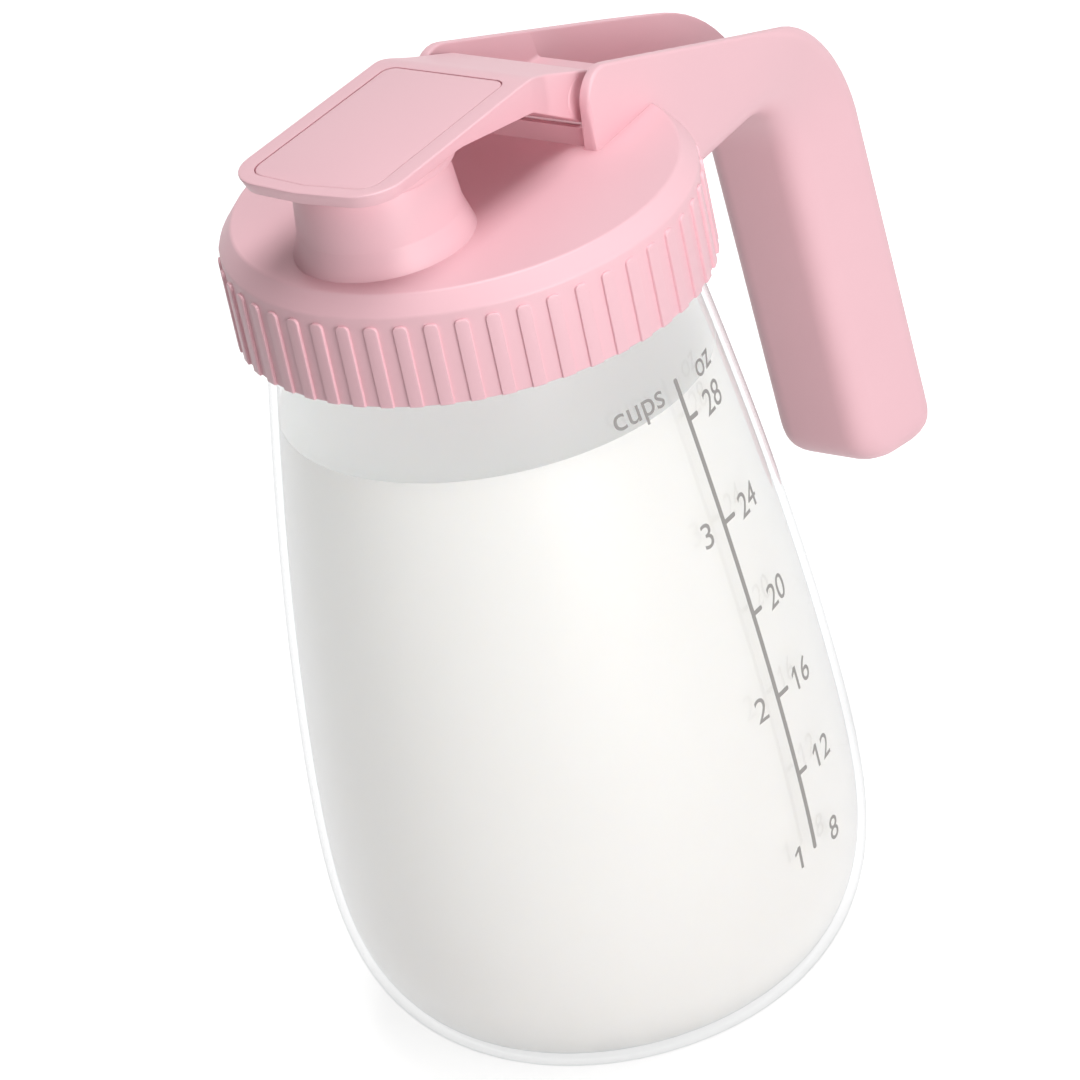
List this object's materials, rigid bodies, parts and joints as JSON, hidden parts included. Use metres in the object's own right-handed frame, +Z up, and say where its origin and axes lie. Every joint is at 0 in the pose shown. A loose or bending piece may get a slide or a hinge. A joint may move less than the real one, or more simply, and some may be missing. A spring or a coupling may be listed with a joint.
{
  "type": "breast milk storage container",
  "caption": "Clear round-bellied jar with a ribbed screw lid, a pour spout under a flip cover with a stopper, and a two-armed side handle.",
  "frame": {"origin": "centre of the jar's flat base, on the surface that it stands on", "axes": "+Z up along the axis of the jar and its lid, +X towards the handle, so the spout is on -X"},
  "size_m": [0.163, 0.104, 0.1912],
  "materials": {
    "jar_glass": "gloss",
    "pink_plastic": "satin",
    "stopper_silicone": "matte",
    "seal_silicone": "matte",
    "pin_steel": "brushed"
  },
  "bodies": {
    "jar": {"glass_jar": "jar_glass"},
    "lid_seal": {"lid_gasket": "seal_silicone"},
    "lid": {"lid_cap": "pink_plastic", "handle_shell": "pink_plastic", "grip_back": "pink_plastic", "hinge_pin": "pin_steel"},
    "cover": {"flip_cover": "pink_plastic", "cover_panel": "pink_plastic", "spout_stopper": "stopper_silicone"}
  },
  "joints": [
    {"name": "lid_lift", "type": "slide", "parent": "jar", "child": "lid_seal", "axis": [0, 0, 1], "range_m": [0, 0.0116]},
    {"name": "lid_turn", "type": "hinge", "parent": "lid_seal", "child": "lid", "pos_m": [0, 0, 0.1667], "axis": [0, 0, 1], "range_deg": [0, 690]},
    {"name": "cover_flip", "type": "hinge", "parent": "lid", "child": "cover", "pos_m": [0.0223, 0, 0.1796], "axis": [0, 1, 0], "range_deg": [0, 125]}
  ],
  "couplings": [
    {"joint": "lid_lift", "follows": "lid_turn", "m_per_rad": 0.00095493}
  ]
}
